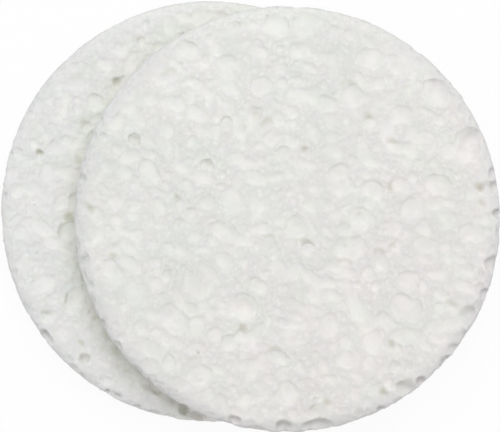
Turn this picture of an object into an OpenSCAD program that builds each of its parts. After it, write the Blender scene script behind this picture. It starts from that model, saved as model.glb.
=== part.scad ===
// A stacked pair of round foam pads for washing the face.
// The lower pad lies flat and the upper pad lies on it, moved sideways.
// The origin is the centre of the lower pad's underside, and +Z is up.
// Each pad is one cut disc of open-cell foam. The cut went through bubbles at
// all heights, so both faces and the rim are pitted with round and oval pores.

/* [Pads] */
// Diameter of each pad
pad_d = 75; // [55:1:110]
// Thickness of each pad
pad_h = 9; // [7:0.5:16]
// Radius that the cut edge has sprung back to
rim_r = 2.5; // [0.5:0.1:3]

/* [Stack] */
// How far the upper pad's centre lies to the right of the lower pad's
shift_x = 13.5; // [-25:0.5:25]
// How far the upper pad's centre lies behind the lower pad's
shift_y = -1.4; // [-15:0.1:15]
// Slack between the two cut faces
seat_gap = 0.1; // [0.05:0.05:0.5]

/* [Pores] */
// Mouth width of the largest pores
large_pore_w = 5; // [3:0.1:6]
// Mouth width of the widest of the scattered pores
medium_pore_w = 3.2; // [1.8:0.1:4]
// Mouth width of the narrowest pores
small_pore_w = 1.5; // [1:0.1:1.8]
// Least foam left between two pores
wall_w = 0.15; // [0.05:0.05:0.6]
// Tries at placing a scattered pore, for each face
face_tries = 150; // [0:10:300]
// Tries at placing a pore around the rim
rim_tries = 80; // [0:10:200]
// Width of the unbroken foam in the middle of each underside
rest_spot_w = 4; // [2:0.5:10]

/* [Hidden] */
foam = [0.93, 0.93, 0.91];
pad_r = pad_d / 2;
disc_fn = 160;
pore_fn = 24;

// The named pores of the upper pad's face, in the order in which they are placed.
// Each row has the place across and up as shares of the pad's radius, the mouth's width as a share
// of the largest pore's, the extra length as a share of that width, the lean of the long way in
// degrees, and the depth as a share of the width.
upper_face_shares = [
  // upper left
  [-0.47, 0.80, 0.68, 0.25, -20, 0.38],
  [-0.28, 0.71, 0.72, 0.30, 80, 0.40],
  [-0.36, 0.84, 0.34, 0.00, 0, 0.40],
  [-0.26, 0.89, 0.42, 0.00, 0, 0.36],
  [-0.13, 0.78, 0.52, 0.30, -20, 0.36],
  [-0.57, 0.66, 0.40, 1.10, 5, 0.36],
  [-0.41, 0.61, 0.40, 1.90, -46, 0.34],
  [-0.43, 0.49, 0.54, 0.40, -30, 0.40],
  [-0.57, 0.42, 0.50, 0.20, 40, 0.30],
  [-0.72, 0.37, 0.44, 0.00, 0, 0.85],
  [-0.73, 0.53, 0.36, 0.20, 0, 0.36],
  [-0.28, 0.46, 0.38, 0.00, 0, 0.80],
  [-0.15, 0.49, 0.50, 0.25, -10, 0.42],
  [-0.12, 0.63, 0.60, 0.30, 0, 0.40],
  // top
  [-0.05, 0.92, 0.78, 0.20, -15, 0.34],
  [0.09, 0.92, 0.76, 0.20, -20, 0.34],
  [0.06, 0.80, 0.56, 0.50, -10, 0.38],
  [-0.03, 0.71, 0.46, 0.20, 0, 0.36],
  [0.22, 0.87, 0.42, 0.50, 80, 0.36],
  [0.30, 0.87, 0.46, 0.20, 0, 0.36],
  [0.39, 0.76, 0.74, 0.40, -10, 0.38],
  [0.42, 0.64, 0.46, 0.60, -5, 0.36],
  [0.52, 0.70, 0.44, 0.20, -20, 0.34],
  // upper right
  [0.30, 0.58, 0.74, 0.25, 70, 0.40],
  [0.18, 0.54, 0.56, 0.30, 0, 0.40],
  [0.70, 0.60, 0.92, 0.20, -25, 0.40],
  [0.57, 0.60, 0.42, 0.00, 0, 0.38],
  [0.84, 0.35, 0.98, 0.25, 75, 0.44],
  [0.53, 0.49, 0.60, 0.50, 5, 0.32],
  [0.71, 0.47, 0.46, 0.20, 0, 0.36],
  [0.39, 0.46, 0.48, 0.15, 0, 0.60],
  [0.50, 0.34, 0.54, 0.30, 0, 0.52],
  [0.64, 0.38, 0.36, 0.80, 0, 0.32],
  [0.61, 0.27, 0.34, 0.00, 0, 0.36],
  [0.69, 0.27, 0.40, 0.00, 0, 0.36],
  [0.42, 0.32, 0.38, 0.50, 10, 0.34],
  [0.71, 0.16, 0.76, 0.20, 0, 0.40],
  [0.93, 0.15, 0.40, 0.00, 0, 0.70],
  // middle, above the centre line
  [-0.07, 0.39, 0.58, 0.10, 0, 0.40],
  [0.02, 0.45, 0.36, 0.45, 10, 0.36],
  [0.10, 0.32, 0.30, 0.00, 0, 0.85],
  [0.20, 0.39, 0.50, 0.00, 0, 0.26],
  [-0.11, 0.27, 0.40, 0.00, 0, 0.32],
  [-0.38, 0.25, 0.42, 0.00, 0, 0.80],
  [-0.47, 0.15, 0.34, 0.40, -40, 0.34],
  [0.25, 0.19, 0.74, 0.50, 105, 0.42],
  [0.39, 0.14, 0.66, 0.20, -20, 0.46],
  [0.50, 0.16, 0.34, 0.00, 0, 0.80],
  [0.59, 0.05, 0.72, 0.35, 5, 0.40],
  [0.34, 0.00, 0.84, 0.10, 0, 0.44],
  [-0.26, 0.09, 0.86, 0.00, 0, 0.36],
  [-0.11, 0.08, 0.42, 0.20, 80, 0.38],
  // left
  [-0.88, 0.02, 0.44, 0.50, -30, 0.36],
  [-0.77, 0.22, 0.42, 0.60, -40, 0.34],
  [-0.80, 0.09, 0.58, 0.15, 0, 0.38],
  [-0.61, 0.06, 0.50, 0.35, -60, 0.34],
  [-0.50, 0.07, 0.36, 0.00, 0, 0.50],
  [-0.50, -0.02, 0.36, 0.00, 0, 0.60],
  [-0.82, -0.25, 0.66, 0.45, -50, 0.42],
  [-0.75, -0.13, 0.44, 0.10, 0, 0.36],
  [-0.66, -0.38, 0.36, 0.00, 0, 0.34],
  [-0.40, -0.14, 0.30, 1.20, 0, 0.34],
  // middle, below the centre line
  [-0.30, -0.06, 0.58, 0.55, -35, 0.40],
  [-0.12, -0.04, 0.46, 0.50, 0, 0.34],
  [0.03, -0.04, 0.74, 0.10, 0, 0.46],
  [-0.07, -0.14, 0.42, 0.60, -60, 0.46],
  [0.09, -0.14, 0.48, 0.00, 0, 0.66],
  [0.29, -0.13, 0.84, 0.35, -5, 0.36],
  [0.50, -0.03, 0.52, 0.30, -10, 0.36],
  [0.64, -0.12, 0.60, 0.30, 0, 0.36],
  [0.45, -0.20, 0.60, 0.10, 0, 0.40],
  [0.53, -0.11, 0.38, 0.10, 30, 0.40],
  [0.28, -0.24, 0.50, 0.25, -15, 0.40],
  [0.37, -0.25, 0.44, 0.00, 0, 0.40],
  [0.19, -0.29, 0.40, 0.40, 0, 0.36],
  [0.86, -0.06, 0.60, 0.50, -10, 0.40],
  [-0.13, -0.31, 0.56, 0.35, -30, 0.46],
  [0.12, -0.35, 0.48, 0.40, -60, 0.42],
  // lower left
  [-0.21, -0.41, 0.96, 0.10, 0, 0.44],
  [-0.23, -0.54, 0.34, 0.00, 0, 0.75],
  [-0.53, -0.47, 0.86, 0.50, -45, 0.38],
  [-0.34, -0.54, 0.54, 0.10, 0, 0.36],
  [-0.40, -0.40, 0.44, 0.00, 0, 0.36],
  [-0.42, -0.61, 0.42, 0.60, 0, 0.36],
  [-0.41, -0.73, 0.78, 0.10, 70, 0.40],
  [-0.64, -0.68, 0.62, 0.00, 0, 0.40],
  [-0.05, -0.65, 0.48, 0.45, -15, 0.50],
  [0.00, -0.81, 0.86, 0.10, -20, 0.40],
  [-0.20, -0.84, 0.60, 0.00, 0, 0.30],
  [0.15, -0.90, 0.54, 0.20, 20, 0.40],
  // lower right
  [0.57, -0.29, 0.68, 0.20, -60, 0.36],
  [0.56, -0.42, 0.76, 0.60, -28, 0.40],
  [0.45, -0.47, 0.52, 0.45, -40, 0.40],
  [0.20, -0.50, 0.80, 0.00, 0, 0.40],
  [0.40, -0.58, 0.82, 0.10, -60, 0.38],
  [0.28, -0.65, 0.54, 0.30, -20, 0.40],
  [0.19, -0.75, 0.40, 0.70, -18, 0.40],
  [0.83, -0.46, 0.54, 0.50, 20, 0.36],
  [0.69, -0.51, 0.42, 0.70, -30, 0.36],
  [0.52, -0.60, 0.40, 0.00, 0, 0.70],
  [0.51, -0.69, 0.46, 0.20, 0, 0.36],
  [0.57, -0.78, 0.44, 0.40, 30, 0.44],
  [0.42, -0.80, 0.40, 0.30, 10, 0.44],
  [0.24, -0.40, 0.44, 0.00, 0, 0.34],
  [0.72, -0.35, 0.40, 0.30, 0, 0.34],
  [0.84, -0.24, 0.44, 0.20, 0, 0.34],
];

// The named pores of the lower pad's face, which show beside the upper pad.
lower_face_shares = [
  [-0.77, 0.19, 0.62, 0.15, -20, 0.38],
  [-0.81, 0.27, 0.28, 0.00, 0, 0.85],
  [-0.45, 0.62, 0.32, 0.00, 0, 0.85],
  [-0.31, 0.89, 0.30, 0.00, 0, 0.60],
  [-0.32, 0.82, 0.32, 0.00, 0, 0.70],
  [-0.55, 0.52, 0.60, 0.15, 70, 0.38],
  [-0.51, 0.70, 0.40, 0.40, 0, 0.34],
  [-0.58, 0.41, 0.34, 0.00, 0, 0.60],
  [-0.71, 0.06, 0.52, 0.10, 0, 0.38],
  [-0.67, -0.09, 0.54, 0.20, 60, 0.50],
  [-0.65, -0.41, 0.62, 0.00, 0, 0.56],
  [-0.77, -0.50, 0.52, 0.25, 10, 0.40],
  [-0.60, -0.70, 0.38, 0.00, 0, 0.70],
  [-0.65, 0.61, 0.46, 0.30, 20, 0.34],
  [-0.80, -0.34, 0.56, 0.40, 30, 0.34],
  [-0.90, -0.10, 0.44, 0.30, 0, 0.36],
  [-0.53, 0.80, 0.40, 0.00, 0, 0.34],
  [-0.92, 0.10, 0.42, 0.40, 80, 0.36],
  [-0.71, 0.48, 0.36, 0.00, 0, 0.36],
  [-0.50, -0.80, 0.46, 0.20, -30, 0.36],
  [-0.28, -0.90, 0.42, 0.20, 0, 0.36],
];

// A pore less stretched than the first is one bubble, and the second is the longest step
// between the bubbles of a longer one.
round_share = 0.2;
link_share = 0.7;

// What the scattered pores are drawn from
face_reach_share = 0.98;
small_bias = 2.2;
long_odds = 0.35;
longest_share = 0.8;
common_lean = -35;
lean_spread = 50;
shallow_share = 0.28;
deep_share = 0.55;
upright_share = 0.4;
steepest = 62;
upper_seed = 41;
lower_seed = 17;

// Radius of the bubble that a cut of width w and depth h went through
function bubble_r(w, h) = (pow(w / 2, 2) + h * h) / (2 * h);

// A pore is a short chain of bubbles along its long way. It opens upwards where face is 1, and
// downwards where face is -1. Each bubble is [x, y, z, radius, over, turn], where over and turn
// point its poles the way that it opens.
function chain(at, w, stretch, lean, depth, face) =
  let (
    h = depth * w,
    r = bubble_r(w, h),
    links = stretch < round_share ? 1 : 1 + ceil(stretch / link_share),
    away = (r - h) * face
  )
  [for (i = [0:links - 1])
    let (s = links == 1 ? 0 : (i / (links - 1) - 0.5) * stretch * w)
    [at.x + s * cos(lean), at.y + s * sin(lean), at.z + away, r, 0, 0]];

// A pore of a table, on the top face
function named_pore(row) =
  chain(
    [row.x * pad_r, row.y * pad_r, pad_h],
    row[2] * large_pore_w, row[3], row[4], row[5], 1
  );

function drawn_w(dice) =
  small_pore_w + (medium_pore_w - small_pore_w) * pow(dice, small_bias);

// A scattered pore on the top face, or on the underside. d holds six dice from 0 to 1.
function face_pore(d, top) =
  let (
    far = pad_r * face_reach_share * sqrt(d[0]),
    turn = 360 * d[1],
    stretch = d[3] < long_odds ? longest_share * d[3] / long_odds : 0
  )
  chain(
    [far * cos(turn), far * sin(turn), top ? pad_h : 0],
    drawn_w(d[2]), stretch,
    common_lean + lean_spread * (d[4] - 0.5),
    shallow_share + (deep_share - shallow_share) * d[5],
    top ? 1 : -1
  );

// A scattered pore on the rim: on its upright part, or over one of its rounded edges
function rim_pore(d) =
  let (
    up = 2 * d[0] - 1,
    past = max(0, abs(up) - upright_share) / (1 - upright_share),
    tilt = sign(up) * steepest * past,
    side = max(-1, min(1, up / upright_share)),
    w = drawn_w(d[2]),
    h = w * (shallow_share + (deep_share - shallow_share) * d[5]),
    r = bubble_r(w, h),
    out = rim_r + r - h,
    far = pad_r - rim_r + out * cos(tilt),
    high = pad_h / 2 + side * (pad_h / 2 - rim_r) + out * sin(tilt),
    turn = 360 * d[1]
  )
  [[far * cos(turn), far * sin(turn), high, r, 90 - tilt, turn]];

function apart(a, b) = norm([a.x - b.x, a.y - b.y, a.z - b.z]) > a[3] + b[3] + wall_w;

function all_true(list) = len([for (ok = list) if (!ok) 1]) == 0;

function is_clear(pore, placed) = all_true([for (a = pore) for (b = placed) apart(a, b)]);

// Adds each pore in turn, unless it would break into one that is already placed.
function place(pores, placed, i = 0) =
  i >= len(pores) ? placed :
  place(pores, is_clear(pores[i], placed) ? concat(placed, pores[i]) : placed, i + 1);

function dice(count, seed) =
  let (all = rands(0, 1, 6 * max(count, 1), seed))
  [for (i = [0:1:count - 1]) [for (k = [0:5]) all[6 * i + k]]];

// Every bubble of one pad. The first is only a keeper of the rest spot, and is left out again.
function bubbles(table, seed) =
  let (
    keeper = [[0, 0, 0, rest_spot_w / 2, 0, 0]],
    named = place([for (row = table) named_pore(row)], keeper),
    rim = place([for (d = dice(rim_tries, seed)) rim_pore(d)], named),
    top = place([for (d = dice(face_tries, seed + 1)) face_pore(d, true)], rim),
    all = place([for (d = dice(face_tries, seed + 2)) face_pore(d, false)], top)
  )
  [for (i = [1:1:len(all) - 1]) all[i]];

// One cut disc with rounded edges
module disc() {
  rotate_extrude($fn = disc_fn)
    union() {
      square([pad_r - rim_r, pad_h]);
      translate([0, rim_r])
        square([pad_r, pad_h - 2 * rim_r]);
      for (z = [rim_r, pad_h - rim_r])
        translate([pad_r - rim_r, z])
          circle(r = rim_r, $fn = pore_fn * 2);
    }
}

module pad(table, seed) {
  difference() {
    disc();
    for (b = bubbles(table, seed))
      translate([b.x, b.y, b.z])
        rotate([0, b[4], b[5]])
          sphere(r = b[3], $fn = pore_fn);
  }
}

module lower_pad() {
  color(foam)
    pad(lower_face_shares, lower_seed);
}

module upper_pad() {
  color(foam)
    translate([shift_x, shift_y, pad_h + seat_gap])
      pad(upper_face_shares, upper_seed);
}

lower_pad();
upper_pad();
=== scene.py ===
import math
import random
import time
import bmesh
import bpy
import numpy as np
from mathutils import Matrix, Vector, bvhtree, kdtree, noise


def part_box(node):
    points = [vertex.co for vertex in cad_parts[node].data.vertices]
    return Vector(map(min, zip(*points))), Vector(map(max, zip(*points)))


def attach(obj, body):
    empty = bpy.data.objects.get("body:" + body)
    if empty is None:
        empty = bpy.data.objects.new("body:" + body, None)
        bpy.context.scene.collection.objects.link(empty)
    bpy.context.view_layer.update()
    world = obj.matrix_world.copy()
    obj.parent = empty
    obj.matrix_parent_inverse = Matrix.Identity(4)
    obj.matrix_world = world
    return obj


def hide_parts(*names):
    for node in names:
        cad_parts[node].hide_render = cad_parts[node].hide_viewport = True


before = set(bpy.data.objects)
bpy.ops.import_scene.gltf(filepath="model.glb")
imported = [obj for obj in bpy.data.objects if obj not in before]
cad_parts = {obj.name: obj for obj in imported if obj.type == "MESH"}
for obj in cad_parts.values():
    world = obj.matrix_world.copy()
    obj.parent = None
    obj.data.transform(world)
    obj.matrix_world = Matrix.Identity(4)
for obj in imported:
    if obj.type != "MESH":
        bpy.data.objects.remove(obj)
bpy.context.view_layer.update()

mm = 0.001
white = (1, 1, 1, 1)
scene = bpy.context.scene
start = time.time()

# Both pads are cut from one sheet of foam, so they share its pores and its finish.
foam = {
    # the skin
    "weld": 0.0005 * mm,            # joins the loose triangles of the solid
    "voxel": 0.26 * mm,             # fineness of the finished skin
    "smoothing": 2,                 # rounds the pores' lips, this many times
    "softness": 0.5,                # and this much each time

    # where the pores lie
    "commonLean": math.radians(-35),
    "leanSpread": 0.6,
    "faceReach": 0.985,             # share of the radius over which a face has pores
    "rimTurn": math.radians(75),    # how far up or down the last pores of the rim look
    "rimBand": 0.4,                 # share of the rim on which they look straight out
    "rounds": 0.5,                  # extra length is drawn from this far below none, so some stay round
    "twins": 0.3,                   # share of the cut pores that run into a neighbour
    "twinSize": (0.5, 0.85),        # by the size of the pore that it joins
    "twinAside": (0.6, 1.0),        # how far from that pore's middle, by its spread
    "twinStretch": 1.2,
    "crowding": 0.85,               # least distance of two cut pores, by the sum of their spreads
    "crowdCell": 2.5 * mm,          # boxes in which a pore's neighbours are looked for
    "testRing": 0.8,                # a cut pore needs whole skin at its middle and this far out,
    "testSlack": 0.12 * mm,         # so the solid's skin is no further away there than this

    # how they are made
    "subdivisions": 3,              # of one bubble
    "batch": 50,                    # bubbles built at a time
    "touchCell": 7 * mm,            # boxes in which bubbles that touch are looked for
    "facing": 0.4,                  # a pressed pore moves only skin that faces its way,
    "facingBlend": 0.3,             # and all of it from this much more

    # the stains, and painted shade in them: darker down a deep hole, and an arc on a pore's upper wall
    "darkHole": 0.75,               # mm, depth from which a hole has its full stain and painted shade
    "darkBite": 2.0,                # the same on the rim
    "holeDepth": 0.75,              # a hole in the face looks deeper than it is, because its stain holds painted shade
    "stainTall": 0.35,              # a stain's distance up and down counts only this much
    "holeStain": 1.25,              # a hole's stain at its middle, where 1 is full,
    "holeFade": 0.8,                # and how fast it fades
    "arcLength": 2.3,               # mm, a hole in the face from this length up has an arc, as bites have
    "arcPlace": 0.85,               # a dark arc of painted shade lies here, where the mark's middle is 0 and its edge is 1
    "arcStain": 1.2,                # its stain, where 1 is full
    "arc": 0.38,                    # its width, by half the mark's
    "arcLow": 0.1,                  # its stain level with the mark's middle, as a share,
    "arcRise": 1.4,                 # and how fast it grows to the upper side, whose wall faces away from the lamp
    "stainDrop": 1.1 * mm,          # a stain is whole down to this far below its mark, gone at twice that

    # the uneven growth
    "jostles": ((0.80 * mm, 5.5 * mm), (0.26 * mm, 1.9 * mm)),  # push and size
    "jostleShift": (0, 7, 13),      # where each pad's noise starts, from its seed
    "jostleEdge": 3.0 * mm,         # near the rim it dies away, and the outline stays round
    "stillSkin": 0.4 * mm,          # this near to a face nothing is pushed up or down,
    "stillPower": 4,                # and how late the push dies away before that

    # the pores' floors
    "floorShare": 0.6,              # how far a pore's bowl gives way to steep walls and a flat floor
    "floorDepth": 0.45 * mm,
    "floorCurve": 0.28 * mm,
    "deepest": 0.60 * mm,           # below this a pore soon ends,
    "deepestBlend": 0.25 * mm,      # within this much more
    "floorReach": 2.2 * mm,         # further down than this nothing is raised,
    "floorBlend": 0.8 * mm,         # and all of it from this much higher

    # the edge and the hollows of the cut faces
    "shoulder": 5.5 * mm,           # width of the pressed edge
    "cornerLeast": 0.1 * mm,        # near the start of the rim's curve nothing is divided by less
    "sag": 0.18 * mm,               # slow hollows in the cut face
    "sagSize": 8 * mm,
    "sagShift": (31, 0, 0),
    "sagTall": 9,                   # gives the underside other hollows than the top
    "sagLevel": 0.7,                # puts the hollows below the solid's face
}

# Pores cut with a Boolean, then small ones pressed in: how many are tried over a whole face, how wide
# their mouths are, how much the narrow ones prevail, how deep they are by their width, how long they
# get, and whether they are for the floors of the larger pores.
cutLayer = {
    "count": 1500, "narrow": 1.3 * mm, "wide": 2.8 * mm, "bias": 1.4,
    "depth": (0.20, 0.38), "long": 1.7,
}
pressedLayers = [
    {
        "count": 1200, "narrow": 0.9 * mm, "wide": 2.0 * mm, "bias": 1.2,
        "depth": (0.08, 0.16), "long": 0.9, "inPits": True,
    },
    {
        "count": 1700, "narrow": 0.8 * mm, "wide": 1.5 * mm, "bias": 1.2,
        "depth": (0.12, 0.26), "long": 0.9, "inPits": False,
    },
    {
        "count": 3500, "narrow": 0.55 * mm, "wide": 0.9 * mm, "bias": 1.0,
        "depth": (0.12, 0.28), "long": 0.8, "inPits": False,
    },
]

# Marks are the holes, the stained pores and the bites in the rim that the photograph shows. Each has
# its place from the pad's middle, its length, its width and its depth, in millimetres. One on the
# rim lies along it.
# A mark's stain is partly painted shade: darker the deeper it goes, and an arc on the upper wall of a pore
# or a bite.
upperPad = {
    "name": "upper_foam_pad", "node": "upper_pad", "body": "upper_pad", "slot": "upper_foam",
    "seed": 11,
    "rimRadius": 2.5 * mm,
    "shoulderDrop": 0.40 * mm,   # how much the pressed edge is lowered
    "crispRim": 0.28 * mm,       # how much the rim's corner is filled out
    "rimGreyShadeShare": 0.70,            # how grey the edge is, partly painted shade
    "coolTint": (0.998, 1.002, 1.003, 1),
    "warmTint": (1.005, 0.990, 0.995, 1),
    "seamBounceTint": white,
    "paler": (0.0002, 0.0003),   # how much lighter for each millimetre across and along
    "marks": [
        # olive holes in the face
        (-27.0, 13.8, 2.1, 1.7, 0.7), (-10.7, 17.5, 2.0, 1.5, 0.4), (-5.4, 18.3, 1.8, 1.4, 0.5),
        (3.1, 12.2, 1.6, 1.3, 0.6), (-14.2, 9.6, 1.8, 1.4, 0.7), (17.9, 5.9, 1.8, 1.5, 0.5),
        (14.4, 18.4, 1.4, 1.2, 0.5), (18.2, 13.8, 1.9, 1.4, 0.5), (2.9, -4.2, 1.8, 1.5, 0.5),
        (-8.4, -19.2, 1.6, 1.3, 0.5), (-19.5, 3.8, 1.3, 1.1, 0.5), (32.0, 14.8, 2.0, 1.7, 0.7),
        (16.7, -30.6, 1.5, 1.1, 0.8), (-30.8, -6.5, 1.5, 1.0, 0.5), (5.1, -33.4, 2.0, 1.0, 0.4),
        (7.1, -32.4, 1.3, 0.8, 0.5), (18.7, -21.9, 1.6, 1.0, 0.5), (-6.9, -14.3, 1.3, 0.9, 0.45),
        # pores with an olive upper edge of painted shade
        (-2.9, 16.4, 3.0, 2.6, 0.35), (-3.3, -3.4, 2.4, 2.2, 0.35), (10.3, -7.7, 2.7, 2.2, 0.40),
        (16.4, -6.4, 2.6, 2.2, 0.35), (19.2, -4.9, 2.4, 1.8, 0.35), (-6.2, -11.1, 2.6, 2.4, 0.30),
        (-2.2, -23.7, 2.8, 2.0, 0.35), (10.9, 23.2, 3.0, 2.6, 0.25), (-15.9, -25.0, 3.0, 2.4, 0.25),
        (-20.6, 25.2, 3.4, 2.2, 0.30),
        # right rim
        (36.0, 7.9, 1.7, 1.6, 1.4), (33.7, 5.9, 1.6, 1.2, 0.9), (36.2, 5.6, 2.2, 1.8, 1.4),
        (36.8, 1.2, 1.9, 1.5, 1.5), (34.4, 3.3, 1.6, 0.9, 0.5), (37.0, -2.6, 2.0, 1.2, 0.7),
        (35.9, -7.9, 3.0, 2.4, 1.2), (34.0, -9.8, 1.6, 1.4, 0.7), (34.5, -13.2, 2.4, 2.0, 1.6),
        (31.6, -17.2, 3.8, 3.4, 0.9), (31.4, -20.4, 2.2, 1.8, 1.4), (28.8, -14.8, 1.9, 1.0, 0.5),
        (29.6, -22.6, 1.8, 1.4, 0.8), (27.7, -25.0, 2.6, 2.0, 1.4), (26.0, -26.8, 1.6, 1.2, 0.9),
        (23.5, -28.3, 1.8, 1.6, 1.5), (20.5, -30.0, 3.6, 2.7, 1.2), (16.0, -33.4, 1.5, 1.2, 1.4),
        (13.3, -34.9, 1.7, 1.0, 1.4),
        # bottom of the rim
        (5.0, -36.3, 4.2, 2.7, 1.6), (-0.4, -36.7, 3.2, 2.5, 1.7), (-5.2, -36.9, 3.7, 1.3, 1.6),
        (-9.1, -35.2, 2.5, 1.9, 1.5), (-11.7, -35.4, 1.8, 1.1, 1.5), (-18.0, -32.9, 1.6, 1.1, 1.4),
        (-24.0, -28.8, 1.4, 1.2, 1.4), (-32.6, -18.0, 1.7, 1.3, 1.4),
        # thin flakes on the left
        (-36.7, -4.5, 3.6, 0.8, 0.5), (-36.2, -7.9, 3.6, 0.8, 0.6), (-35.6, -10.1, 2.8, 0.8, 0.5),
        (-36.6, 5.6, 1.8, 0.8, 0.6), (-34.6, 2.0, 1.8, 1.2, 0.6), (-34.4, -14.5, 2.2, 0.8, 0.5),
    ],
}

lowerPad = {
    "name": "lower_foam_pad", "node": "lower_pad", "body": "lower_pad", "slot": "lower_foam",
    "seed": 29,
    "rimRadius": 2.5 * mm,
    "shoulderDrop": 0.25 * mm,
    "crispRim": 0.15 * mm,
    "rimGreyShadeShare": 0.40,
    "coolTint": (1.012, 1.015, 1.026, 1),
    "warmTint": (1.016, 1.010, 1.028, 1),
    "seamBounceTint": (0.996, 1.000, 0.962, 1),
    "paler": (0, 0),
    "marks": [
        # olive holes in the face
        (-11.8, 33.5, 1.5, 1.2, 0.6), (-12.4, 31.1, 2.0, 1.5, 0.4), (-17.2, 23.5, 1.4, 1.1, 1.0),
        (-30.6, 10.6, 1.4, 1.1, 0.9), (-34.6, -10.8, 1.0, 0.8, 0.6), (-22.6, -26.0, 1.8, 1.3, 0.7),
        (-23.2, 8.8, 2.0, 1.2, 0.45), (-25.1, -1.0, 2.1, 1.8, 0.6), (-22.4, 16.0, 1.8, 1.4, 0.4),
        (-24.5, -16.2, 3.6, 3.2, 0.6), (-25.9, -3.4, 2.2, 2.2, 0.35), (-29.0, -18.0, 2.0, 1.0, 0.5),
        (-23.1, -23.3, 1.4, 0.9, 0.5),
        # pores in the upper pad's shadow, with painted shade in their stains
        (-19.8, -19.9, 2.4, 1.5, 0.4), (-18.6, -22.2, 1.6, 1.2, 0.3), (-19.1, -24.2, 1.6, 1.1, 0.3),
        (-17.2, -24.9, 1.9, 1.3, 0.4), (-16.7, -27.4, 1.5, 1.1, 0.3), (-14.4, -29.0, 2.4, 1.4, 0.4),
        (-11.4, -31.0, 1.7, 1.3, 0.4), (-9.6, -32.2, 1.9, 1.2, 0.4), (-7.0, -33.9, 1.6, 1.1, 0.4),
        (-5.0, -35.0, 2.2, 1.4, 0.9),
        # left and lower rim
        (-29.4, -22.4, 3.4, 2.0, 1.4), (-22.9, -29.2, 1.3, 0.9, 1.0), (-18.5, -31.9, 1.3, 0.9, 1.4),
        (-16.3, -33.0, 1.4, 0.9, 1.4), (-13.0, -34.8, 1.5, 0.9, 1.4), (-10.0, -35.9, 2.4, 1.1, 1.5),
        (-7.4, -36.5, 1.7, 1.0, 1.5), (-4.9, -35.2, 2.4, 2.2, 2.4), (-2.6, -36.4, 3.6, 2.0, 2.6),
        (-35.6, 10.4, 1.6, 0.9, 0.8), (-36.6, 3.0, 1.6, 0.9, 0.9),
    ],
}


# A pad's flat disc, measured on its solid
def measureDisc(pad):
    low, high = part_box(pad["node"])
    return {"middle": (low + high) / 2, "radius": (high.x - low.x) / 2, "half": (high.z - low.z) / 2,
            "top": high.z, "rim": pad["rimRadius"]}


def linkObject(name, mesh):
    made = bpy.data.objects.new(name, mesh)
    scene.collection.objects.link(made)
    return made


def applyModifiers(piece):
    graph = bpy.context.evaluated_depsgraph_get()
    finished = bpy.data.meshes.new_from_object(piece.evaluated_get(graph))
    old = piece.data
    piece.modifiers.clear()
    piece.data = finished
    bpy.data.meshes.remove(old)


# A pad starts as a welded copy of its solid, which already has the large pores.
def weldedCopy(pad):
    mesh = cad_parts[pad["node"]].data.copy()
    mesh.materials.clear()
    bm = bmesh.new()
    bm.from_mesh(mesh)
    bmesh.ops.remove_doubles(bm, verts=bm.verts, dist=foam["weld"])
    bm.to_mesh(mesh)
    bm.free()
    return linkObject(pad["name"], mesh)


# How large a bubble is when a cut through it leaves a mouth of this width and depth
def bubbleRadius(width, depth):
    return ((width / 2) ** 2 + depth ** 2) / (2 * depth)


# One bubble, an ellipsoid: its mouth's middle, which way is out, which way it lies
def makeBubble(mouth, outwards, lean, width, depth, stretch):
    size = bubbleRadius(width, depth)
    long = (lean - outwards * lean.dot(outwards)).normalized()
    turned = Matrix((long, outwards.cross(long), outwards)).transposed().to_4x4()
    return {"mouth": mouth, "out": outwards, "lean": long, "width": width, "depth": depth,
            "stretch": stretch, "place": mouth + outwards * (size - depth), "reach": size * stretch,
            "shape": turned @ Matrix.Diagonal((size * stretch, size, size, 1)),
            "spread": width / 2 * math.sqrt(stretch)}


def drawBubble(mouth, outwards, lean, layer, draw):
    width = layer["narrow"] + (layer["wide"] - layer["narrow"]) * draw.random() ** layer["bias"]
    depth = width * draw.uniform(*layer["depth"])
    stretch = 1 + max(0, draw.uniform(-foam["rounds"], layer["long"]))
    return makeBubble(mouth, outwards, lean, width, depth, stretch)


# Bubbles all over a pad. First the top, then the underside, then the rim with its rounded edges.
def scatterBubbles(disc, layer, draw):
    bubbles = []
    for side in (1, -1):
        for _ in range(layer["count"]):
            away = disc["radius"] * foam["faceReach"] * math.sqrt(draw.random())
            turn = draw.uniform(0, math.tau)
            mouth = Vector((away * math.cos(turn), away * math.sin(turn), side * disc["half"]))
            lean = foam["commonLean"] + draw.gauss(0, foam["leanSpread"])
            lean = Vector((math.cos(lean), math.sin(lean), 0))
            bubbles.append(drawBubble(disc["middle"] + mouth, Vector((0, 0, side)), lean, layer, draw))
    share = 2 * disc["radius"] * 2 * disc["half"] / disc["radius"] ** 2  # the rim's area by a face's
    band = foam["rimBand"]
    for _ in range(int(layer["count"] * share)):
        turn = draw.uniform(0, math.tau)
        up = draw.uniform(-1, 1)
        tilt = math.copysign(foam["rimTurn"] * max(0, abs(up) - band) / (1 - band), up)
        side = max(-1, min(1, up / band))
        outwards = Vector((math.cos(turn) * math.cos(tilt), math.sin(turn) * math.cos(tilt),
                           math.sin(tilt)))
        core = Vector((math.cos(turn), math.sin(turn), 0)) * (disc["radius"] - disc["rim"])
        core.z = side * (disc["half"] - disc["rim"])
        mouth = disc["middle"] + core + outwards * disc["rim"]
        lean = draw.gauss(0, foam["leanSpread"])
        lean = Vector((-math.sin(turn) * math.cos(lean), math.cos(turn) * math.cos(lean), math.sin(lean)))
        bubbles.append(drawBubble(mouth, outwards, lean, layer, draw))
    return bubbles


# Some pores grow a smaller one at their side.
def withTwins(bubbles, draw):
    twins = []
    for bubble in bubbles:
        if draw.random() < foam["twins"]:
            turn = Matrix.Rotation(draw.uniform(0, math.tau), 3, bubble["out"])
            aside = turn @ bubble["lean"]
            size = draw.uniform(*foam["twinSize"])
            mouth = bubble["mouth"] + aside * bubble["spread"] * draw.uniform(*foam["twinAside"])
            twins.append(makeBubble(mouth, bubble["out"], turn @ aside, bubble["width"] * size,
                                    bubble["depth"] * size, foam["twinStretch"]))
    return bubbles + twins


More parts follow.
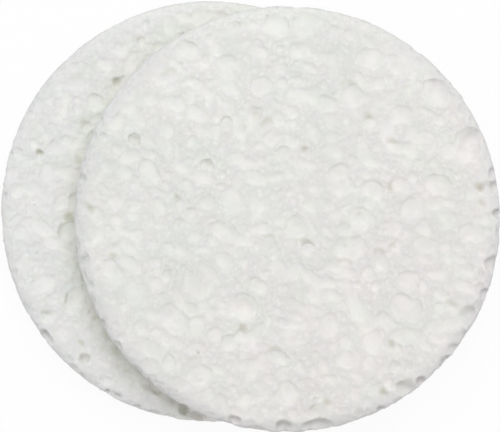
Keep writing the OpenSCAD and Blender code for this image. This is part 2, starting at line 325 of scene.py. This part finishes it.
# Leaves out the bubbles that would run into a larger pore or into one another.
def spacedBubbles(bubbles, piece):
    tree = bvhtree.BVHTree.FromObject(piece, bpy.context.evaluated_depsgraph_get())
    kept = []
    grid = {}
    for bubble in bubbles:
        home = tuple(math.floor(c / foam["crowdCell"]) for c in bubble["mouth"])
        near = [other for i in (-1, 0, 1) for j in (-1, 0, 1) for k in (-1, 0, 1)
                for other in grid.get((home[0] + i, home[1] + j, home[2] + k), ())]
        if any((bubble["mouth"] - other["mouth"]).length
               < foam["crowding"] * (bubble["spread"] + other["spread"]) for other in near):
            continue
        aside = bubble["out"].orthogonal().normalized() * bubble["spread"] * foam["testRing"]
        around = [Matrix.Rotation(turn, 3, bubble["out"]) @ aside
                  for turn in (0, math.pi / 2, math.pi, -math.pi / 2)]
        if all(tree.find_nearest(bubble["mouth"] + step)[3] < foam["testSlack"]
               for step in [Vector()] + around):
            grid.setdefault(home, []).append(bubble)
            kept.append(bubble)
    return kept


# A named mark as an ellipsoid: where it stands on the skin, and its half axes
def markShape(mark, disc):
    across, along, length, width, depth = (value * mm for value in mark)
    past = max(0, math.hypot(across, along) - (disc["radius"] - disc["rim"]))
    high = disc["half"] - disc["rim"] + math.sqrt(max(0, disc["rim"] ** 2 - past ** 2))
    lean = math.atan2(along, across) + math.pi / 2 if past else foam["commonLean"]
    depth *= 1 if past else foam["holeDepth"]
    shape = Matrix.Rotation(lean, 4, "Z") @ Matrix.Diagonal((length / 2, width / 2, depth, 1))
    return disc["middle"] + Vector((across, along, high)), shape


def namedBubbles(pad, disc):
    bubbles = []
    for mark in pad["marks"]:
        place, shape = markShape(mark, disc)
        length, depth = mark[2], mark[4]
        bubbles.append({"place": place, "shape": shape, "reach": max(length / 2, depth) * mm})
    return bubbles


# Splits the bubbles into sets in which none touches another, because a cutter's own shells
# have to stay apart.
def separateSets(bubbles):
    sets = []
    for bubble in bubbles:
        home = tuple(math.floor(c / foam["touchCell"]) for c in bubble["place"])
        near = [(home[0] + i, home[1] + j, home[2] + k)
                for i in (-1, 0, 1) for j in (-1, 0, 1) for k in (-1, 0, 1)]
        for grid in sets:
            if all((bubble["place"] - other["place"]).length > bubble["reach"] + other["reach"]
                   for spot in near for other in grid.get(spot, ())):
                grid.setdefault(home, []).append(bubble)
                break
        else:
            sets.append({home: [bubble]})
    return [[bubble for spot in grid.values() for bubble in spot] for grid in sets]


def cutterFrom(name, bubbles):
    whole = bmesh.new()
    for first in range(0, len(bubbles), foam["batch"]):
        few = bmesh.new()
        for bubble in bubbles[first:first + foam["batch"]]:
            bmesh.ops.create_icosphere(few, subdivisions=foam["subdivisions"], radius=1,
                                       matrix=Matrix.Translation(bubble["place"]) @ bubble["shape"])
        part = bpy.data.meshes.new("few bubbles")
        few.to_mesh(part)
        few.free()
        whole.from_mesh(part)
        bpy.data.meshes.remove(part)
    mesh = bpy.data.meshes.new(name)
    whole.to_mesh(mesh)
    whole.free()
    return linkObject(name, mesh)


def cutPores(piece, bubbles):
    cutters = [cutterFrom("bubbles", some) for some in separateSets(bubbles)]
    for cutter in cutters:
        cut = piece.modifiers.new("pores", "BOOLEAN")
        cut.operation = "DIFFERENCE"
        cut.solver = "MANIFOLD"
        cut.object = cutter
    applyModifiers(piece)
    for cutter in cutters:
        bpy.data.meshes.remove(cutter.data)
    return len(cutters)


def growSkin(piece):
    skin = piece.modifiers.new("skin", "REMESH")
    skin.mode = "VOXEL"
    skin.voxel_size = foam["voxel"]
    soften = piece.modifiers.new("soften", "SMOOTH")
    soften.factor = foam["softness"]
    soften.iterations = foam["smoothing"]
    applyModifiers(piece)


# Pores that nearly meet can leave a crumb of a few faces on its own. Only the pad itself stays.
def dropCrumbs(mesh):
    bm = bmesh.new()
    bm.from_mesh(mesh)
    unseen = set(bm.verts)
    shells = []
    while unseen:
        shell = []
        front = [next(iter(unseen))]
        while front:
            vertex = front.pop()
            if vertex in unseen:
                unseen.discard(vertex)
                shell.append(vertex)
                front += [edge.other_vert(vertex) for edge in vertex.link_edges]
        shells.append(shell)
    shells.sort(key=len)
    bmesh.ops.delete(bm, geom=[vertex for shell in shells[:-1] for vertex in shell], context="VERTS")
    bm.to_mesh(mesh)
    bm.free()
    return len(shells) - 1


# One row of three numbers for each vertex
def readRows(items, key):
    rows = np.empty(len(items) * 3)
    items.foreach_get(key, rows)
    return rows.reshape(-1, 3)


# Presses small pores into the finished skin: what lies inside a bubble goes down to its floor.
# Where the skin is already gone, a layer for the pits goes into the pit's own floor.
def pressPores(places, normals, bubbles, inPits):
    tree = kdtree.KDTree(len(places))
    for index, place in enumerate(places):
        tree.insert(place, index)
    tree.balance()
    pressed = 0
    for bubble in bubbles:
        nearest, index, gap = tree.find(bubble["mouth"])
        if inPits != (gap > foam["voxel"]):
            continue
        if inPits:
            bubble = makeBubble(nearest, Vector(normals[index]).normalized(), bubble["lean"],
                                bubble["width"], bubble["depth"], bubble["stretch"])
        near = tree.find_range(bubble["mouth"], bubble["width"] / 2 * bubble["stretch"])
        near = np.array([index for _, index, _ in near])
        out = np.array(bubble["out"])
        facing = np.clip((normals[near] @ out - foam["facing"]) / foam["facingBlend"], 0, 1)
        toUnit = np.array(bubble["shape"].inverted().to_3x3())
        toSize = np.array(bubble["shape"].to_3x3())
        up = toUnit @ out
        up /= np.linalg.norm(up)
        local = (places[near] - np.array(bubble["place"])) @ toUnit.T
        high = local @ up
        far = (local ** 2).sum(1)
        floor = -np.sqrt(np.clip(1 - far + high ** 2, 0, None))
        down = np.where(far < 1, np.minimum(floor - high, 0), 0) * facing
        places[near] += (down[:, None] * up) @ toSize.T
        pressed += 1
    return pressed


# The stain and painted shade in and round each named mark, from 0 to 1: a deeper one is darker, and a rim
# bite or a long pore gets its shade as an arc on its upper side.
# Beside it, how much of each point belongs to a stained hole.
def markShades(places, pad, disc):
    shades = np.zeros(len(places))
    holes = np.zeros(len(places))
    for mark in pad["marks"]:
        across, along, length, width, depth = mark
        place, shape = markShape(mark, disc)
        onRim = math.hypot(across, along) * mm > disc["radius"] - disc["rim"]
        fromMark = places - np.array(place)
        local = fromMark @ np.array(shape.inverted().to_3x3()).T
        far = np.linalg.norm(local * (1, 1, foam["stainTall"]), axis=1)
        if onRim or length > foam["arcLength"]:
            arc = np.clip(foam["arcStain"] - np.abs(far - foam["arcPlace"]) / foam["arc"], 0, 1)
            rise = foam["arcLow"] + foam["arcRise"] * fromMark[:, 1] / (width / 2 * mm)
            stainAndShade = arc * np.clip(rise, 0, 1)
        else:
            stainAndShade = np.clip(foam["holeStain"] - far * foam["holeFade"], 0, 1)
            holes = np.maximum(holes, stainAndShade)
        stainAndShade = stainAndShade * np.clip(2 + fromMark[:, 2] / foam["stainDrop"], 0, 1)
        strength = depth / foam["darkBite" if onRim else "darkHole"]
        shades = np.maximum(shades, stainAndShade * min(1, strength))
    return shades, holes


# Uneven growth: pushes the pores out of round. A point near the rim only slides along it.
def jostle(places, disc, seed):
    middle = np.array(disc["middle"])
    flat = places - middle
    away = np.hypot(flat[:, 0], flat[:, 1])
    outwards = flat[:, :2] / np.maximum(away, disc["rim"])[:, None]
    inside = np.clip((disc["radius"] - away) / foam["jostleEdge"], 0, 1)
    inside = inside * inside * (3 - 2 * inside)
    noise.seed_set(seed)  # noise_vector is different in each run without it
    push = np.zeros_like(places)
    for strength, size in foam["jostles"]:
        shift = Vector([seed + step for step in foam["jostleShift"]])
        push += strength * np.array([noise.noise_vector(Vector(place) / size + shift) for place in flat])
    radial = (push[:, :2] * outwards).sum(1)
    push[:, :2] -= outwards * (radial * (1 - inside))[:, None]
    height = np.abs(flat[:, 2]) / (disc["half"] - foam["stillSkin"])
    upright = np.clip(1 - height ** foam["stillPower"], 0, 1)
    push[:, 2] *= upright * (1 - inside)
    places += push


# A pore of this foam has a steep wall and a flat floor, so the bowls under a face are pressed up
# from below. The stained holes stay deep.
def flattenFloors(places, disc, holes):
    flat = places - np.array(disc["middle"])
    away = np.hypot(flat[:, 0], flat[:, 1])
    inside = np.clip((disc["radius"] - disc["rim"] / 2 - away) / disc["rim"], 0, 1)
    under = np.clip(disc["half"] - np.abs(flat[:, 2]), 0, None)
    pressed = foam["floorDepth"] * (1 - np.exp(-under / foam["floorCurve"]))
    raised = under + foam["floorShare"] * (pressed - under)
    past = np.clip(raised - foam["deepest"], 0, None)
    raised += foam["deepestBlend"] * (1 - np.exp(-past / foam["deepestBlend"])) - past
    near = np.clip((foam["floorReach"] - under) / foam["floorBlend"], 0, 1)
    places[:, 2] += inside * (1 - holes) * near * (under - raised) * np.sign(flat[:, 2])


# The pressed edge, the crisper corner of the rim and the slow hollows of the cut faces
def settle(places, disc, pad):
    flat = places - np.array(disc["middle"])
    away = np.hypot(flat[:, 0], flat[:, 1])
    past = np.clip(away - disc["radius"] + disc["rim"], 0, disc["rim"])
    above = np.clip(np.abs(flat[:, 2]) - disc["half"] + disc["rim"], 0, disc["rim"])
    corner = np.maximum(np.hypot(past, above), foam["cornerLeast"])
    bulge = pad["crispRim"] * 2 * past * above / disc["rim"] ** 2 / corner
    places[:, :2] += flat[:, :2] * (bulge * past / np.maximum(away, disc["rim"]))[:, None]
    places[:, 2] += bulge * above * np.sign(flat[:, 2])
    edge = np.clip((away - disc["radius"] + foam["shoulder"]) / foam["shoulder"], 0, 1)
    shift = Vector([pad["seed"] + step for step in foam["sagShift"]])
    tall = foam["sagTall"]
    sag = np.array([noise.noise(Vector((place[0], place[1], tall * place[2])) / foam["sagSize"] + shift)
                    for place in flat])
    drop = pad["shoulderDrop"] * edge ** 2 + foam["sag"] * (sag + foam["sagLevel"])
    places[:, 2] -= drop * flat[:, 2] / disc["half"]


def makePad(pad):
    disc = measureDisc(pad)
    draw = random.Random(pad["seed"])
    piece = weldedCopy(pad)
    bubbles = withTwins(spacedBubbles(scatterBubbles(disc, cutLayer, draw), piece), draw)
    bubbles += namedBubbles(pad, disc)
    sets = cutPores(piece, bubbles)
    print(pad["name"], len(bubbles), "bubbles cut in", sets, "sets", round(time.time() - start), "s")

    growSkin(piece)
    mesh = piece.data
    print(pad["name"], dropCrumbs(mesh), "crumbs dropped", round(time.time() - start), "s")
    places = readRows(mesh.vertices, "co")
    normals = readRows(mesh.vertex_normals, "vector")
    print(pad["name"], len(mesh.polygons), "faces in the skin", round(time.time() - start), "s")

    shades, holes = markShades(places, pad, disc)
    jostle(places, disc, pad["seed"])
    for layer in pressedLayers:
        pressed = pressPores(places, normals, scatterBubbles(disc, layer, draw), layer["inPits"])
        print(pad["name"], pressed, "small bubbles pressed in", round(time.time() - start), "s")
    flattenFloors(places, disc, holes)
    settle(places, disc, pad)
    mesh.vertices.foreach_set("co", places.ravel())
    # the marks' stains, with the painted shade in them
    mesh.attributes.new("stainAndShade", "FLOAT", "POINT").data.foreach_set("value", shades)
    mesh.polygons.foreach_set("use_smooth", [True] * len(mesh.polygons))
    mesh.materials.clear()  # the Boolean leaves an empty slot
    mesh.update()
    print(pad["name"], "ready", round(time.time() - start), "s")
    return piece


# One socket of a material's tree. Sums written with it add Math nodes.
class Wire:
    def __init__(self, paint, socket):
        self.paint = paint
        self.socket = socket

    def maths(self, operation, *values):
        return self.paint.node("Math", {"operation": operation}, dict(enumerate(values)))

    def __add__(self, other):
        return self.maths("ADD", self, other)

    def __sub__(self, other):
        return self.maths("SUBTRACT", self, other)

    def __rsub__(self, other):
        return self.maths("SUBTRACT", other, self)

    def __mul__(self, other):
        return self.maths("MULTIPLY", self, other)

    def __pow__(self, other):
        return self.maths("POWER", self, other)

    def __abs__(self):
        return self.maths("ABSOLUTE", self)

    def atLeast(self, other):
        return self.maths("MAXIMUM", self, other)

    def atMost(self, other):
        return self.maths("MINIMUM", self, other)

    __radd__ = __add__
    __rmul__ = __mul__


# A material, or the world, under construction
class Paint:
    def __init__(self, owner):
        owner.use_nodes = True
        self.owner = owner
        self.tree = owner.node_tree
        self.tree.nodes.clear()

    def node(self, kind, settings, sockets, out=0):
        made = self.tree.nodes.new("ShaderNode" + kind)
        for key, value in settings.items():
            setattr(made, key, value)
        for key, value in sockets.items():
            if isinstance(value, Wire):
                self.tree.links.new(value.socket, made.inputs[key])
            else:
                made.inputs[key].default_value = value
        return Wire(self, made.outputs[out]) if made.outputs else None

    def blend(self, share, first, second, way="MIX"):
        return self.node("Mix", {"data_type": "RGBA", "blend_type": way},
                         {0: share, 6: first, 7: second}, 2)

    # 0 below low, 1 above high, and a smooth step between them
    def step(self, value, low, high):
        return self.node("MapRange", {"interpolation_type": "SMOOTHSTEP"},
                         {"Value": value, "From Min": low, "From Max": high})

    def noise(self, place, size, detail=2, roughness=0.5):
        return self.node("TexNoise", {}, {"Vector": place, "Scale": 1 / size, "Detail": detail,
                                          "Roughness": roughness})

    # How far it is to the middle of the nearest of many scattered cells
    def cells(self, place, scale):
        return self.node("TexVoronoi", {}, {"Vector": place, "Scale": scale, "Randomness": 1.0},
                         "Distance")


# Sizes are in millimetres, unless mm is written.
foamFinish = {
    # the colours
    "cutColour": (0.780, 0.782, 0.764, 1),     # the rough cut between the pores
    "wallColour": (0.874, 0.873, 0.848, 1),    # the smooth film inside a pore
    "holeStainShadeColour": (0.610, 0.602, 0.515, 1),    # the olive stain down in the holes, darkened with painted shade
    "rimGreyAndShade": (0.730, 0.730, 0.733, 1),     # the pressed edge is greyer, partly its own grey and partly painted shade
    # painted shade, in the outline and in the arcs of the rim's bites
    "paintedShadeGrey": (0.560, 0.560, 0.568, 1),
    "greenPatch": (0.990, 1.002, 0.990, 1),
    "pinkPatch": (1.008, 0.996, 1.000, 1),

    # the film, by how far a point lies below the cut, and in patches
    "wallDepth": (0.22, 0.48),
    "filmPatch": 2.4,
    "filmStep": (0.38, 0.62),
    "filmLeast": 0.5,                          # how much of it the duller patches keep

    # pores too small to cut: cells for each millimetre, and where the film in one ends
    "coarseScale": 0.85,
    "coarseFilm": (0.22, 0.42),
    "fineScale": 1.5,
    "fineFilm": (0.20, 0.45),
    "fineShare": 0.8,                          # how strong it is in the fine ones
    "poreFilm": 0.55,                          # and in all of them

    # the edge
    "rimWidth": 3.8,
    "litTopRim": (0.75, 0.95),                  # shares of the radius, where the rim's grey and painted shade end at the top, which faces the lamp
    "outlineWidth": 0.5,                       # painted shade: the outermost skin, where it turns down, is greyer still
    "outlineShare": 0.4,
    "seamWidth": 5,

    # slow changes of tone: the tint drifts across and down, and wanders
    "driftAcross": 0.8,
    "driftDown": 0.6,
    "driftPatch": 14,
    "driftWander": 30,
    "driftStep": (-10, 35),
    "tintPatch": 3.8,
    "tintStep": (0.35, 0.65),
    "slowPatch": 15,
    "lightness": 0.932,                        # at the darkest
    "grainLight": 0.06,                        # what the grain adds at most,
    "slowLight": 0.08,                         # and the slow patches

    # the surface
    "grain": (0.45, 3, 0.6),                   # size, detail and roughness of the finest noise
    "grainHeight": 0.25,
    "filmDepth": 0.5,
    "bumpStrength": 0.4,
    "bumpDistance": 0.12 * mm,
    "roughness": 0.92,
    "wallGloss": 0.22,                         # how much less rough the film is,
    "grainRough": 0.06,                        # and how much rougher the grain
    "gloss": 0.25,
    "scatter": 0.6,
    "scatterColour": (1.0, 0.97, 0.85),
    "scatterReach": 1.0 * mm,
}


def foamMaterial(pad):
    disc = measureDisc(pad)
    middle = disc["middle"] / mm
    half = disc["half"] / mm
    radius = disc["radius"] / mm
    rim = disc["rim"] / mm
    paint = Paint(bpy.data.materials.new(pad["slot"]))
    place = paint.node("TexCoord", {}, {}, "Object")
    place = paint.node("VectorMath", {"operation": "SCALE"}, {0: place, "Scale": 1 / mm})  # in millimetres
    fromMiddle = paint.node("VectorMath", {"operation": "SUBTRACT"}, {0: place, 1: middle})
    across, along, up = (paint.node("SeparateXYZ", {}, {0: fromMiddle}, axis) for axis in "XYZ")

    # How far a point lies under the disc's unbroken skin
    away = (across * across + along * along) ** 0.5
    pastSide = away - (radius - rim)
    pastFace = abs(up) - (half - rim)
    corner = (pastSide.atLeast(0) ** 2 + pastFace.atLeast(0) ** 2) ** 0.5
    depth = rim - corner - pastSide.atLeast(pastFace).atMost(0)

    wall = paint.step(depth, *foamFinish["wallDepth"])
    stainAndShade = paint.node("Attribute", {"attribute_name": "stainAndShade"}, {}, "Fac")
    edge = paint.step(away, radius - foamFinish["rimWidth"], radius)
    grain = paint.noise(place, *foamFinish["grain"])

    # Pores too small to cut: pale film inside, a low wall round each
    coarse = paint.cells(place, foamFinish["coarseScale"])
    fine = paint.cells(place, foamFinish["fineScale"])
    coarseFilm = 1 - paint.step(coarse, *foamFinish["coarseFilm"])
    fineFilm = 1 - paint.step(fine, *foamFinish["fineFilm"])
    film = coarseFilm.atLeast(fineFilm * foamFinish["fineShare"]) * (1 - wall)

    least = foamFinish["filmLeast"]
    pale = paint.step(paint.noise(place, foamFinish["filmPatch"]), *foamFinish["filmStep"])
    pale = pale * (1 - least) + least
    filmed = (wall * pale + film * foamFinish["poreFilm"]).atMost(1)
    colour = paint.blend(filmed, foamFinish["cutColour"], foamFinish["wallColour"])
    litFrom, litTo = foamFinish["litTopRim"]
    # The rim's grey: partly the pressed edge's own, partly painted shade, left off at the top, which faces
    # the lamp.
    pressed = edge * pad["rimGreyShadeShare"] * (1 - paint.step(along, radius * litFrom, radius * litTo))
    colour = paint.blend(pressed, colour, foamFinish["rimGreyAndShade"])
    # Painted shade along the outline, where the skin turns down
    outline = paint.step(away, radius - foamFinish["outlineWidth"], radius) * foamFinish["outlineShare"]
    colour = paint.blend(outline, colour, foamFinish["paintedShadeGrey"])
    # The marks' stains and the painted shade in them: olive in the holes, grey on the rim
    stainShadeColour = paint.blend(edge, foamFinish["holeStainShadeColour"], foamFinish["paintedShadeGrey"])
    colour = paint.blend(stainAndShade, colour, stainShadeColour)
    slope = across * foamFinish["driftAcross"] - along * foamFinish["driftDown"]
    wander = paint.noise(place, foamFinish["driftPatch"]) * foamFinish["driftWander"]
    drift = paint.step(slope + wander, *foamFinish["driftStep"])
    tint = paint.blend(drift, pad["coolTint"], pad["warmTint"])
    colour = paint.blend(1.0, colour, tint, "MULTIPLY")

    # Painted bounced light and shade: the lower pad is a little yellow where the upper one covers it and
    # in a band beside its outline.
    cover = measureDisc(upperPad)["middle"] / mm - middle
    fromCover = ((across - cover.x) ** 2 + (along - cover.y) ** 2) ** 0.5
    seamBounce = 1 - paint.step(fromCover, radius, radius + foamFinish["seamWidth"])
    colour = paint.blend(seamBounce, colour, paint.blend(1.0, colour, pad["seamBounceTint"], "MULTIPLY"))
    patch = paint.step(paint.noise(place, foamFinish["tintPatch"]), *foamFinish["tintStep"])
    patch = paint.blend(patch, foamFinish["greenPatch"], foamFinish["pinkPatch"])
    colour = paint.blend(1.0, colour, patch, "MULTIPLY")
    lightness = foamFinish["lightness"] + grain * foamFinish["grainLight"]
    lightness = lightness + paint.noise(place, foamFinish["slowPatch"]) * foamFinish["slowLight"]
    lightness = lightness + across * pad["paler"][0] + along * pad["paler"][1]
    shade = paint.node("CombineColor", {}, {"Red": lightness, "Green": lightness, "Blue": lightness})
    colour = paint.blend(1.0, colour, shade, "MULTIPLY")

    height = grain * foamFinish["grainHeight"] - film * foamFinish["filmDepth"]
    bump = paint.node("Bump", {}, {"Strength": foamFinish["bumpStrength"],
                                   "Distance": foamFinish["bumpDistance"], "Height": height})

    roughness = foamFinish["roughness"] - wall * foamFinish["wallGloss"]
    roughness = roughness + grain * foamFinish["grainRough"]

    skin = paint.node("BsdfPrincipled", {"subsurface_method": "RANDOM_WALK"}, {
        "Base Color": colour,
        "Roughness": roughness,
        "Normal": bump,
        "Specular IOR Level": foamFinish["gloss"],
        "Subsurface Weight": foamFinish["scatter"],
        "Subsurface Radius": foamFinish["scatterColour"],
        "Subsurface Scale": foamFinish["scatterReach"],
    })
    paint.node("OutputMaterial", {}, {"Surface": skin})
    return paint.owner


for pad in (lowerPad, upperPad):
    piece = makePad(pad)
    piece.data.materials.append(foamMaterial(pad))
    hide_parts(pad["node"])
    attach(piece, pad["body"])

# The photograph's view: straight down, from where its two outlines differ in size as they do there
view = {
    "frameWidth": 500,
    "lowerOutline": 210.2,           # radii of the two pads' outlines, in pixels of the photograph
    "upperOutline": 212.7,
    "upperCentre": (287.5, 219.3),
    "frameCentre": (250, 216),
    "sensorWidth": 36,
    "nearest": 0.01,                 # metres
    "furthest": 20,
}
upperDisc = measureDisc(upperPad)
outlineHeight = upperDisc["top"] - upperDisc["rim"]
drop = upperDisc["top"] - measureDisc(lowerPad)["top"]
distance = drop / (view["upperOutline"] / view["lowerOutline"] - 1)
pixel = upperDisc["radius"] / view["upperOutline"]
camera = bpy.data.cameras.new("camera")
camera.sensor_width = view["sensorWidth"]
camera.lens = camera.sensor_width * distance / (view["frameWidth"] * pixel)
camera.clip_start = view["nearest"]
camera.clip_end = view["furthest"]
cameraObject = bpy.data.objects.new("camera", camera)
cameraObject.location = (
    upperDisc["middle"].x - (view["upperCentre"][0] - view["frameCentre"][0]) * pixel,
    upperDisc["middle"].y + (view["upperCentre"][1] - view["frameCentre"][1]) * pixel,
    outlineHeight + distance,
)
scene.collection.objects.link(cameraObject)
scene.camera = cameraObject
print("camera", [round(c / mm, 1) for c in cameraObject.location], "mm, lens", round(camera.lens, 1))

light = {
    "keyFrom": (0.04, 0.42, 1.0),    # towards the lamp
    "keyDistance": 1.2,              # metres
    "keySize": 0.75,
    "keyPower": 5.08,                # watts
    "sky": 0.666,
}


def addLamp(name, towards, distance, size, power):
    lamp = bpy.data.lights.new(name, "AREA")
    lamp.shape = "DISK"
    lamp.size = size
    lamp.energy = power
    holder = bpy.data.objects.new(name, lamp)
    direction = Vector(towards).normalized()
    holder.location = direction * distance
    holder.rotation_euler = direction.to_track_quat("Z", "Y").to_euler()
    scene.collection.objects.link(holder)


addLamp("key", light["keyFrom"], light["keyDistance"], light["keySize"], light["keyPower"])
print("lamp placed", round(time.time() - start), "s")


# 1 for the rays that show the background itself: the camera's, and those in gloss and glass
def inSight(paint):
    seen = paint.node("LightPath", {}, {}, "Is Camera Ray")
    for kind in ("Is Glossy Ray", "Is Transmission Ray"):
        seen = seen.atLeast(paint.node("LightPath", {}, {}, kind))
    return seen


air = Paint(bpy.data.worlds.new("studio"))
scene.world = air.owner
sky = air.node("Background", {}, {"Color": white, "Strength": light["sky"]})
backdrop = air.node("Background", {}, {"Color": white, "Strength": 1})
studio = air.node("MixShader", {}, {0: inSight(air), 1: sky, 2: backdrop})
air.node("OutputWorld", {}, {"Surface": studio})

ground = {
    "size": 3,                       # metres
    "colour": (0.95, 0.95, 0.95, 1),
    "plain": 0.92,                   # how much of it is plain white to the camera. The rest takes shadow.
}
floorMesh = bpy.data.meshes.new("floor")
bm = bmesh.new()
bmesh.ops.create_grid(bm, x_segments=1, y_segments=1, size=ground["size"])
bm.to_mesh(floorMesh)
bm.free()
floor = linkObject("floor", floorMesh)
floorPaint = Paint(bpy.data.materials.new("floor"))
matte = floorPaint.node("BsdfDiffuse", {}, {"Color": ground["colour"]})
glow = floorPaint.node("Emission", {}, {"Color": white, "Strength": 1})
plain = inSight(floorPaint) * ground["plain"]
mixed = floorPaint.node("MixShader", {}, {0: plain, 1: matte, 2: glow})
floorPaint.node("OutputMaterial", {}, {"Surface": mixed})
floorMesh.materials.append(floorPaint.owner)
print("floor and sky ready", round(time.time() - start), "s")

scene.view_settings.view_transform = "Standard"
